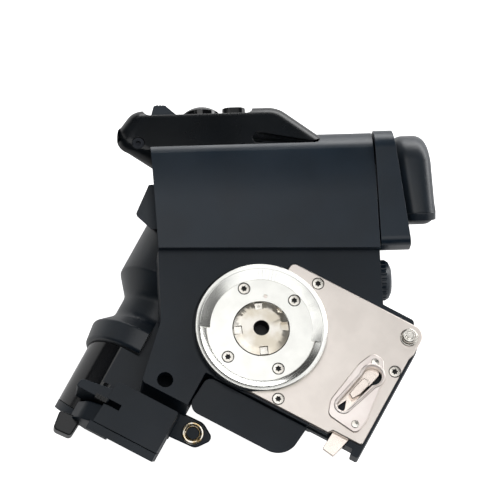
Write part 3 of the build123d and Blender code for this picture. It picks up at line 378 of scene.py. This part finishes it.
# %% Inside plastics, board and cells
def plain_plastic(name, first, second, roughness, patch, **sockets):
    """A moulded or coated inner part with a drift of tone and a light orange peel."""
    material, tree, shader, coordinates = finish(name, first, roughness, **sockets)
    vary(tree, shader, coordinates, first, second, patch)
    peel = add(tree, "ShaderNodeTexNoise", {"Scale": 1 / (0.8 * MM), "Detail": 2.0}, {"Vector": coordinates})
    relief(tree, shader, peel.outputs["Fac"], 0.01 * MM, strength=0.5)
    return material


acetal = plain_plastic("gear_acetal", "#E6E2D6", "#DAD5C6", 0.35, 5 * MM)
board_laminate = plain_plastic("glass_epoxy_board", "#1E5A37", "#17472B", 0.40, 3 * MM)
chip_epoxy = plain_plastic("chip_epoxy", "#1A1B1D", "#242527", 0.55, 2 * MM)
cell_sleeve = plain_plastic("cell_sleeve", "#2B4A7A", "#233E68", 0.25, 9 * MM)
print("inside finishes ready")

# %% [markdown]
# A CAD solid has knife edges, and a real moulding or machined part never does. Where a node's
# shape is right, a copy of its mesh is welded, its flats are joined, its edges are bevelled by the
# real radius, and the copy stands for the node. The bevel only takes edges sharper than a limit,
# so curved walls stay as they are.

# %% Helpers for working as by hand
def clear_selection():
    """Go to object mode with nothing selected."""
    if bpy.context.object and bpy.context.object.mode != "OBJECT":
        bpy.ops.object.mode_set(mode="OBJECT")
    bpy.ops.object.select_all(action="DESELECT")


def work_on(piece):
    """Make one piece the only selected and active one."""
    clear_selection()
    piece.select_set(True)
    bpy.context.view_layer.objects.active = piece


def apply_modifier(piece, kind, **settings):
    """Add a modifier, set it and apply it."""
    work_on(piece)
    modifier = piece.modifiers.new(kind.lower(), kind)
    for key, value in settings.items():
        setattr(modifier, key, value)
    bpy.ops.object.modifier_apply(modifier=modifier.name)


def coat(piece, material):
    """Give every face of a piece one material."""
    if not piece.data.materials:
        piece.data.materials.append(material)
    for index in range(len(piece.material_slots)):
        piece.material_slots[index].material = material


def smooth(piece, angle=32.0):
    """Shade smooth across edges flatter than an angle."""
    work_on(piece)
    bpy.ops.object.shade_smooth_by_angle(angle=math.radians(angle))


def edit_mesh(piece, *steps):
    """Run mesh operators, each on the whole piece, in edit mode."""
    work_on(piece)
    bpy.ops.object.mode_set(mode="EDIT")
    for operator, settings in steps:
        bpy.ops.mesh.select_all(action="SELECT")
        operator(**settings)
    bpy.ops.object.mode_set(mode="OBJECT")


def body_name(node):
    """The body that a CAD node rides on."""
    return nodes[node]["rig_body"]


def welded_copy(node, name):
    """A copy of a CAD node's mesh with its doubles merged and its flat faces joined."""
    piece = bpy.data.objects.new(name, nodes[node].data.copy())
    bpy.context.scene.collection.objects.link(piece)
    piece.data.materials.clear()
    edit_mesh(piece, (bpy.ops.mesh.remove_doubles, {"threshold": 0.001 * MM}),
              (bpy.ops.mesh.dissolve_limited, {"angle_limit": math.radians(0.4)}))
    return piece


def ease(piece, radius, segments=2, limit=40.0):
    """Round the piece's sharp edges by a radius and shade it."""
    apply_modifier(piece, "BEVEL", width=radius, segments=segments, limit_method="ANGLE",
                   angle_limit=math.radians(limit), use_clamp_overlap=True, harden_normals=False)
    smooth(piece, 38.0)
    apply_modifier(piece, "WEIGHTED_NORMAL", keep_sharp=True)


def eased_node(node, name, radius, material, segments=2, limit=40.0):
    """Replace a CAD node by its welded copy with eased edges."""
    piece = welded_copy(node, name)
    ease(piece, radius, segments, limit)
    coat(piece, material)
    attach(piece, body_name(node))
    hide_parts(node)
    print(name, len(piece.data.polygons), "faces")


# %% Finishes of the nodes that keep their CAD shape
KEPT = {
    housing_abs: ["outer_housing", "finger_ledge", "mode_dial", "mode_slider"],
    hump_abs: ["second_button"],
    button_abs: ["release_button"],
    grip_rubber: ["finger_grip"],
    carrier_abs: ["cassette_body", "base_latch", "dial_collar", "switch_board"],
    stainless: ["cover_rivets", "idler_shaft", "gear_plate_posts"],
    black_zinc: ["hump_screws", "housing_screws", "tact_switches"],
    nickel_brass: ["cell_contacts"],
    zinc_steel: ["motor_can", "gear_plate"],
    gear_brass: ["motor_pinion"],
    spring_steel: ["release_spring", "second_spring"],
    bronze: ["hub_bush"],
    acetal: ["hub_gear", "idler_gear", "motor_end_cap"],
    board_laminate: ["circuit_board"],
    chip_epoxy: ["board_parts"],
    cell_sleeve: ["battery_cells"],
    disc_steel: ["coupling_disc"],
    plate_steel: ["mount_plate"],
}
for material, names in KEPT.items():
    for name in names:
        coat(nodes[name], material)
print("nodes coated:", sum(len(names) for names in KEPT.values()))

# %% Mouldings and turned parts with eased edges
EASED = [
    ("inner_housing", "plate_side_housing", 0.35, panel_abs),
    ("gear_room_wall", "gear_room_moulding", 0.35, panel_abs),
    ("gear_box_cover", "gear_box_moulding", 0.5, panel_abs),
    ("end_cap", "end_cap_moulding", 0.45, housing_abs),
    ("cassette_cap", "cassette_end_moulding", 0.4, panel_abs),
    ("drive_hub", "hub_turning", 0.25, hub_steel),
    ("hub_keys", "key_blocks", 0.15, stainless),
    ("locating_stud", "stud_turning", 0.2, stainless),
]
for node, name, radius, material in EASED:
    eased_node(node, name, radius * MM, material)

# %% [markdown]
# The head's flat side is not quite flat: over its upper part it rolls away into the top edge, as
# a moulded box does, and that is what turns the softbox's edge into a soft gradient. It is shaped
# by cutting the flat into bands with bisects and letting the bands down along a curve.

# %% Bands and bends
def head_axes(point):
    """A row position as the head's u, v and z."""
    return HEAD_TURN.inverted() @ point


def band_cuts(piece, heights):
    """Cut a piece across the head at several v, so that its flat sides can bend there."""
    across = HEAD_TURN @ Vector((0, 1, 0))
    edit_mesh(piece, *[(bpy.ops.mesh.bisect, {"plane_co": head_spot(0, v, 0), "plane_no": across})
                       for v in heights])


def let_down(piece, drop):
    """Lower each corner near the camera side by drop(u, v, z), all in millimetres."""
    for vertex in piece.data.vertices:
        u, v, z = head_axes(vertex.co) / MM
        vertex.co.z -= drop(u, v, z) * MM
    piece.data.update()


ROLL_START, ROLL_R = 50.0, 95.0
ROLL_FADE_LOW, ROLL_FADE = -12.0, 13.0
ROLL_STEP, ROLL_CUTS = 3.0, 7


def head_roll(u, v, z):
    """The head's side rolls away on a large radius, less and less with depth."""
    share = min(1.0, max(0.0, (z - ROLL_FADE_LOW) / ROLL_FADE))
    return share * max(0.0, v - ROLL_START) ** 2 / (2 * ROLL_R)


head = welded_copy("head_shell", "head_moulding")
band_cuts(head, [ROLL_START + ROLL_STEP * k for k in range(ROLL_CUTS)])
let_down(head, head_roll)
ease(head, 0.45 * MM)
coat(head, housing_abs)
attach(head, body_name("head_shell"))
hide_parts("head_shell")
print("head rolls away by", round(head_roll(0, 67, 2.4), 2), "mm at its top edge")

# %% [markdown]
# Many pieces start from an outline: the console, the pad, the strap tab. An outline is a list of
# corners, each with the radius of its rounding. A filled circle primitive with as many corners is
# pulled into that outline, extruded to its depth, cut by slanting planes and bevelled.

# %% Outlines and solids on them
NORMALS_OUT = (bpy.ops.mesh.normals_make_consistent, {"inside": False})
BROAD_EDGE = 4.6 * MM


def rounded(corners, steps=6):
    """The points of an outline through (x, y, radius) corners, each rounded by an arc."""
    line = []
    for index, (x, y, radius) in enumerate(corners):
        here = Vector((x, y))
        back = (Vector(corners[index - 1][:2]) - here).normalized()
        ahead = (Vector(corners[(index + 1) % len(corners)][:2]) - here).normalized()
        if radius == 0:
            line.append(here)
            continue
        half = back.angle(ahead) / 2
        centre = here + (back + ahead).normalized() * (radius / math.sin(half))
        start = here + back * (radius / math.tan(half)) - centre
        end = here + ahead * (radius / math.tan(half)) - centre
        for step in range(steps + 1):
            line.append(centre + start.lerp(end, step / steps).normalized() * radius)
    return line


def loop_piece(name, points, fill="NGON"):
    """A flat loop through points given in millimetres, from a circle primitive."""
    clear_selection()
    bpy.ops.mesh.primitive_circle_add(vertices=len(points), fill_type=fill)
    piece = bpy.context.object
    piece.name = name
    for vertex, point in zip(piece.data.vertices, points):
        vertex.co = Vector((*point, 0.0)[:3]) * MM
    return piece


def outlined(name, corners, top, depth, axes=Matrix.Identity(4)):
    """A solid on an outline, from its top down by a depth, carried by a set of axes."""
    piece = loop_piece(name, [(p.x, p.y, top) for p in rounded(corners)])
    move = {"TRANSFORM_OT_translate": {"value": (0, 0, -depth * MM)}}
    edit_mesh(piece, (bpy.ops.mesh.extrude_region_move, move), NORMALS_OUT)
    piece.data.transform(axes)
    return piece


def slice_off(piece, point, normal):
    """Cut a piece by a plane and throw away what lies on the normal's side."""
    edit_mesh(piece, (bpy.ops.mesh.bisect, {"plane_co": point, "plane_no": normal, "use_fill": True,
                                            "clear_outer": True}))


def cut_out(piece, cutter):
    """Take a cutter's shape out of a piece and remove the cutter."""
    apply_modifier(piece, "BOOLEAN", operation="DIFFERENCE", object=cutter, solver="MANIFOLD")
    bpy.data.objects.remove(cutter)


def round_broadly(piece, segments):
    """The broad rounding of the console and the pad, on every edge that is sharp enough."""
    apply_modifier(piece, "BEVEL", width=BROAD_EDGE, segments=segments, limit_method="ANGLE",
                   angle_limit=math.radians(50), use_clamp_overlap=False)


def dress(piece, material, body):
    """Coat a finished piece and let it ride on its body."""
    coat(piece, material)
    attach(piece, body)
    print(piece.name, len(piece.data.polygons), "faces")


# %% [markdown]
# The console carries the controls. It is one soft moulding: its side leans back by nine degrees
# of draft, so it mirrors the dark gap above the softbox, and its broad edge turns toward the strip
# light. Its foot dips below the head's side, and its underside in front climbs away from the eye.

# %% The console
HUMP_CORNERS = [(-35.0, 65.4, 1.0), (-47.9, 72.3, 5.5), (-47.9, 78.4, 6.5), (-41.4, 87.0, 7.0),
                (11.4, 87.0, 10.0), (27.4, 73.6, 1.0), (29.4, 66.0, 0.4), (-33.0, 66.0, 0.4)]
HUMP_TOP, HUMP_DEPTH = -0.6, 25.4
HUMP_DRAFT = math.tan(math.radians(9.0))
HUMP_FOOT_V, FOOT_DIP = 70.0, 0.7
TOP_FACE = -1.0
HEAD_LEAN = Vector((0.097, 0.335, -1.0))
UNDERSIDE_SPOT, UNDERSIDE_RUN = Vector((-47.9, 72.3, -3.6)), Vector((-12.9, 6.9, 0.0))
DECK_V, BUTTON_Z = 84.0, -11.5
RECESS = [(-37.6, DECK_V, 2.4), (1.9, DECK_V, 2.4), (3.6, 100.0, 0), (-39.4, 100.0, 0)]
WELL_LOW, WELL_HIGH = 77.0, 92.0
SIDE_SCREWS = ((-40.5, 72.9), (3.4, 73.6))
SIDE_HOLE_R, SIDE_HOLE_DEPTH, SIDE_HOLE_Z = 2.3, 9.4, 1.5
ACROSS = Matrix.Rotation(math.radians(-90), 4, "X")

console = outlined("console_moulding", HUMP_CORNERS, HUMP_TOP, HUMP_DEPTH)
edit_mesh(console, (bpy.ops.mesh.bisect, {"plane_co": (0, HUMP_FOOT_V * MM, 0), "plane_no": (0, 1, 0)}))
for vertex in console.data.vertices:
    if vertex.co.z > TOP_FACE * MM:
        above = vertex.co.y - HUMP_FOOT_V * MM
        vertex.co.z -= above * HUMP_DRAFT if above > 0 else -above * FOOT_DIP
slice_off(console, UNDERSIDE_SPOT * MM, UNDERSIDE_RUN.cross(HEAD_LEAN))
round_broadly(console, 7)
cut_out(console, outlined("recess_cutter", RECESS, 20.0, 41.0))


def well_cutter(name, u, radius):
    """A round cutter for a button's well, which runs across the head, along v."""
    clear_selection()
    bpy.ops.mesh.primitive_cylinder_add(vertices=48, radius=radius * MM, depth=(WELL_HIGH - WELL_LOW) * MM)
    piece = bpy.context.object
    piece.name = name
    piece.data.transform(ACROSS)
    piece.data.transform(Matrix.Translation(Vector((u, (WELL_LOW + WELL_HIGH) / 2, BUTTON_Z)) * MM))
    return piece


cut_out(console, well_cutter("release_well", -16.3, 7.1))
cut_out(console, well_cutter("second_well", -4.2, 4.6))
for u, v in SIDE_SCREWS:
    clear_selection()
    bpy.ops.mesh.primitive_cylinder_add(vertices=40, radius=SIDE_HOLE_R * MM, depth=SIDE_HOLE_DEPTH * MM,
                                        location=Vector((u, v, SIDE_HOLE_Z)) * MM)
    cut_out(console, bpy.context.object)
console.data.transform(HEAD_TURN)
smooth(console, 30.0)
dress(console, hump_abs, body_name("control_hump"))
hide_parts("control_hump")

# %% [markdown]
# The thumb pad is a thick rubber block behind the end cap. Its upper near edge is rounded on a
# large radius and the others on a smaller one, and its underside climbs away from the eye.

# %% The thumb pad
PAD_SECTION = [(37.6, -4.0, 6.0), (37.6, -44.0, 6.0), (77.4, -44.0, 9.0), (77.4, -4.0, 13.0)]
PAD_LOW_U, PAD_HIGH_U = 47.0, 67.0
PAD_TAPER_V, PAD_TAPER = 60.0, 0.10
FROM_SECTION = HEAD_TURN @ Matrix(((0, 0, 1, 0), (1, 0, 0, 0), (0, 1, 0, 0), (0, 0, 0, 1)))
pad = outlined("thumb_cushion", PAD_SECTION, PAD_HIGH_U, PAD_HIGH_U - PAD_LOW_U)
for vertex in pad.data.vertices:
    if vertex.co.z > (PAD_LOW_U + PAD_HIGH_U) / 2 * MM:
        vertex.co.z -= max(0.0, vertex.co.x - PAD_TAPER_V * MM) * PAD_TAPER
pad.data.transform(FROM_SECTION)
slice_off(pad, head_spot(60.0, 39.4, -4.0), HEAD_TURN @ Vector((0, -1.0, -0.335)))
slice_off(pad, head_spot(51.9, 80.0, 0.0), HEAD_TURN @ Vector((-1.0, -0.093, 0)))
round_broadly(pad, 6)
smooth(pad, 40.0)
dress(pad, grip_rubber, body_name("thumb_pad"))
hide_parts("thumb_pad")

# %% [markdown]
# The coupling ring is turned: a narrow flat land outside, and a broad inner wall that slopes down
# to the disc. Three bayonet lugs stand in from that wall. A profile is drawn as a loop at the
# ring's radius and spun round the drive axis; a lug is a filled profile spun through its angle.

# %% The coupling ring and its lugs
def spun(name, profile, start, angle, steps, fill="NOTHING"):
    """A profile of (radius, height) corners spun round the drive axis from a start angle."""
    piece = loop_piece(name, [(r, 0.0, z) for r, z in profile], fill)
    piece.data.transform(Matrix.Rotation(math.radians(start), 4, "Z"))
    turn_round = {"steps": steps, "angle": math.radians(angle), "center": (0, 0, 0), "axis": (0, 0, 1)}
    edit_mesh(piece, (bpy.ops.mesh.spin, turn_round),
              (bpy.ops.mesh.remove_doubles, {"threshold": 0.002 * MM}), NORMALS_OUT)
    return piece


RING = [(24.0, 0.0), (24.0, 2.2), (23.9, 2.45), (23.7, 2.6), (22.6, 2.6), (22.3, 2.5), (21.9, 2.2),
        (20.3, 1.25), (19.9, 1.1), (19.85, 0.9), (19.85, 0.0)]
LUG = [(22.35, 2.5), (21.8, 2.3), (18.9, 1.25), (18.5, 1.15), (18.5, 0.82), (19.9, 0.82)]
LUGS = [(56.0, 42.0), (122.0, 74.0), (208.0, 112.0)]
ring = spun("coupling_ring_turned", RING, 0.0, 360.0, 128)
smooth(ring, 25.0)
dress(ring, ring_chrome, body_name("coupling_ring"))
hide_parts("coupling_ring")
for index, (start, angle) in enumerate(LUGS):
    lug = spun("bayonet_lug_%d" % (index + 1), LUG, start, angle, 32, "NGON")
    smooth(lug, 25.0)
    dress(lug, ring_chrome, body_name("coupling_ring"))

# %% [markdown]
# Each screw is a countersunk head with a six-lobed socket. The head is a little smaller than its
# sink, which leaves the dark line round it. A near-black ring in that gap and a near-black coat on
# the socket's walls are painted shade. It is modelled once and copied to its places.

# %% Socket screws
HEAD_R, SINK_R = 2.0, 2.26
# Painted shade: a near-black finish for the screw sockets, the gaps round the screw heads and the drive hole.
painted_shade_black, tree, shader, coordinates = finish("painted_shade_dark", "#08090A", 0.5)
vary(tree, shader, coordinates, "#08090A", "#0E0F10", 2 * MM)


def screw_master():
    """One screw at the origin, its head's top at height zero."""
    profile = [(0.0, 0.0), (1.5, 0.0), (HEAD_R - 0.12, -0.02), (HEAD_R, -0.12), (1.25, -0.95), (1.25, -2.0),
               (0.0, -2.0)]
    screw = spun("screw", profile, 0.0, 360.0, 32)
    coat(screw, stainless)
    lobes = [(1.2 if k % 2 == 0 else 0.82) for k in range(12)]
    star = [(r * math.cos(math.pi * k / 6), r * math.sin(math.pi * k / 6), 0) for k, r in enumerate(lobes)]
    cutter = outlined("socket_cutter", star, 0.5, 1.35)
    # The cutter's near-black passes to the socket's walls: painted shade in the recess.
    coat(cutter, painted_shade_black)
    apply_modifier(screw, "BOOLEAN", operation="DIFFERENCE", object=cutter, solver="EXACT",
                   material_mode="TRANSFER")
    bpy.data.objects.remove(cutter)
    # A near-black ring in the gap round the head: painted shade.
    gap = spun("gap", [(1.9, -0.2), (SINK_R, -0.16), (SINK_R, -0.4), (1.9, -0.4)], 0.0, 360.0, 32)
    coat(gap, painted_shade_black)
    clear_selection()
    gap.select_set(True)
    screw.select_set(True)
    bpy.context.view_layer.objects.active = screw
    bpy.ops.object.join()
    smooth(screw, 30.0)
    return screw


DISC_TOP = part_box("coupling_disc")[1].z / MM
PLATE_SCREWS = [(10.1, 25.4), (49.8, 9.2), (17.6, -20.3)]
DISC_SCREW_CIRCLE = 16.25
DISC_SCREWS = [(DISC_SCREW_CIRCLE * math.cos(math.radians(a)), DISC_SCREW_CIRCLE * math.sin(math.radians(a)))
               for a in (70.0, 140.0, 250.0, 320.0)]
SCREW_TURN = 0.7
master = screw_master()
places = [(x, y, 0.0, "plate_screw") for x, y in PLATE_SCREWS]
places += [(x, y, DISC_TOP, "disc_screw") for x, y in DISC_SCREWS]
for index, (x, y, z, name) in enumerate(places):
    copy = bpy.data.objects.new("%s_%d" % (name, index + 1), master.data.copy())
    bpy.context.scene.collection.objects.link(copy)
    spin_about = Matrix.Rotation(SCREW_TURN * index, 4, "Z")
    copy.data.transform(Matrix.Translation(Vector((x, y, z)) * MM) @ spin_about)
    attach(copy, body_name("plate_screws"))
    if index == 0:
        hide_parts("plate_screws", "disc_screws")
bpy.data.objects.remove(master)
print("screws placed:", len(places))

# %% Painted shade: a near-black sleeve inside the drive hole
BORE_R, BORE_TOP, BORE_LOW = 2.88, 1.45, -4.2
WALL, BOTTOM = 0.15, 0.3
BORE_SHADE_PROFILE = [(BORE_R, BORE_TOP), (BORE_R, BORE_LOW), (0.0, BORE_LOW), (0.0, BORE_LOW + BOTTOM),
          (BORE_R - WALL, BORE_LOW + BOTTOM), (BORE_R - WALL, BORE_TOP)]
bore_shade = spun("drive_hole_painted_shade", BORE_SHADE_PROFILE, 0, 360, 48)
smooth(bore_shade, 30.0)
dress(bore_shade, painted_shade_black, body_name("drive_hub"))

# %% [markdown]
# The lock's cover is pressed from sheet: a bead stands up all round its keyhole. The bead is the
# keyhole's outline, two arcs and the lines between them, as a curve with a round bevel.

# %% Bead round the keyhole
LOCK_PLACE = Matrix.Translation(Vector((41.2, -4.1, 0)) * MM) @ Matrix.Rotation(math.radians(-15), 4, "Z")
COVER_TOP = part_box("lock_cover")[1].z / MM
KEYHOLE_ARCS = (((0.2, 8.0), 3.5, -35, 215), ((0.0, -7.4), 2.2, 180, 360))
ARC_STEPS = 12
BEAD_R, BEAD_OUT, BEAD_SUNK = 0.5, 0.75, 0.1


def keyhole(grow):
    """The keyhole's outline, grown outwards: a wide arc above and a narrow one below."""
    points = []
    for (x, y), radius, first, last in KEYHOLE_ARCS:
        for step in range(ARC_STEPS + 1):
            a = math.radians(first + (last - first) * step / ARC_STEPS)
            points.append((x + (radius + grow) * math.cos(a), y + (radius + grow) * math.sin(a)))
    return points


bead_curve = bpy.data.curves.new("keyhole_bead", "CURVE")
bead_curve.dimensions = "3D"
bead_curve.bevel_depth = BEAD_R * MM
bead_curve.bevel_resolution = 3
spline = bead_curve.splines.new("POLY")
outline = keyhole(BEAD_OUT)
spline.points.add(len(outline) - 1)
for point, (x, y) in zip(spline.points, outline):
    point.co = (x * MM, y * MM, (COVER_TOP - BEAD_SUNK) * MM, 1.0)
spline.use_cyclic_u = True
bead = bpy.data.objects.new("keyhole_bead", bead_curve)
bpy.context.scene.collection.objects.link(bead)
work_on(bead)
bpy.ops.object.convert(target="MESH")
bead = bpy.context.object
bead.data.transform(LOCK_PLACE)
smooth(bead, 60.0)
dress(bead, cover_steel, body_name("lock_cover"))
eased_node("lock_cover", "lock_cover_pressing", 0.2 * MM, cover_steel)
eased_node("lock_tongue", "tongue_blank", 0.2 * MM, tongue_steel)
eased_node("lock_lever", "lever_blank", 0.3 * MM, tongue_steel, segments=3)

# %% [markdown]
# The strap tab ends in a flared eyelet: brass, nickel plated, rolled over on both sides.

# %% Strap eyelet
LUG_PLACE = Matrix.Translation(Vector((-4.65, -41.3, -17.1)) * MM) @ Matrix.Rotation(math.radians(22), 4, "X")
EYELET = [(2.0, 0.0), (2.05, 1.2), (2.5, 2.2), (3.2, 2.65), (3.9, 2.45), (4.1, 1.9), (3.7, 1.55), (3.0, 1.5),
          (3.0, -1.5), (3.7, -1.55), (4.1, -1.9), (3.9, -2.45), (3.2, -2.65), (2.5, -2.2), (2.05, -1.2)]
eyelet = spun("rolled_eyelet", EYELET, 0.0, 360.0, 64)
eyelet.data.transform(LUG_PLACE)
smooth(eyelet, 50.0)
dress(eyelet, nickel_brass, body_name("strap_eyelet"))
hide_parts("strap_eyelet")
TAB = [(-7.6, -5.2, 0), (-7.6, 4.6, 0), (1.6, 4.9, 4.5), (7.6, 1.2, 2.2), (3.2, -4.6, 3.4)]
tab = outlined("strap_tab", TAB, 1.3, 2.6)
tab.data.transform(LUG_PLACE)
ease(tab, 0.5 * MM, segments=3, limit=50)
dress(tab, housing_abs, body_name("strap_lug"))
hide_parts("strap_lug")

# %% [markdown]
# The grip's base carries the battery latch. A bar crosses its face above the latch's slot, below
# the slot the face falls away in a curve, and a small tab at the corner gives the nail a hold.

# %% The base and its latch details
SLOT = [(-60.0, -50.1, 0), (-60.0, -51.3, 0), (-33.0, -51.0, 0.4), (-33.0, -49.7, 0.4)]
BAR = [(-48.4, -46.4, 1.6), (-48.9, -49.9, 0.8), (-36.0, -49.9, 0.3), (-36.0, -44.4, 0.3)]
FALL = [(-31.0, -4.3, 0), (-36.5, -4.6, 6.0), (-43.0, -8.2, 6.0), (-46.8, -15.5, 1.0), (-40.0, -18.0, 0),
        (-31.0, -18.0, 0)]
NAIL = [(-50.6, -58.0, 1.2), (-49.6, -65.4, 1.6), (-42.6, -65.0, 1.6), (-42.2, -57.0, 0.6)]
GLOSS_X, GLOSS_Y = -38.6, -20.0
STAND = Matrix(((1, 0, 0, 0), (0, 0, 1, 0), (0, 1, 0, 0), (0, 0, 0, 1)))

base = welded_copy("grip_shell", "grip_moulding")
cut_out(base, outlined("slot_cutter", SLOT, 5.0, 13.0))
ease(base, 0.4 * MM)
dress(base, panel_abs, body_name("grip_shell"))
base.data.materials.append(base_abs)
for face in base.data.polygons:
    if face.center.x < GLOSS_X * MM and face.center.y < GLOSS_Y * MM:
        face.material_index = 1
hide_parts("grip_shell")
bar = outlined("latch_bar", BAR, -4.1, 12.0)
ease(bar, 0.5 * MM, segments=3)
dress(bar, panel_abs, body_name("grip_shell"))
fall = outlined("curved_fall", FALL, -51.4, 7.4)
fall.data.transform(STAND)
edit_mesh(fall, NORMALS_OUT)
ease(fall, 0.5 * MM, segments=3)
dress(fall, panel_abs, body_name("grip_shell"))
nail = outlined("nail_tab", NAIL, -13.0, 5.0)
ease(nail, 0.9 * MM, segments=4)
dress(nail, hump_abs, body_name("cassette_cap"))

# %% Floor finish and the end
FLOOR_GLOW = 0.16
floor_finish, tree, shader, coordinates = finish("light_table", "#FFFFFF", 0.6)
shader.inputs["Emission Color"].default_value = linear("#FFFFFF")
glow = add(tree, "ShaderNodeLightPath")
level = add(tree, "ShaderNodeMapRange", {"To Min": FLOOR_GLOW, "To Max": 1.0},
            {"Value": glow.outputs["Is Camera Ray"]})
tree.links.new(level.outputs["Result"], shader.inputs["Emission Strength"])
coat(floor, floor_finish)
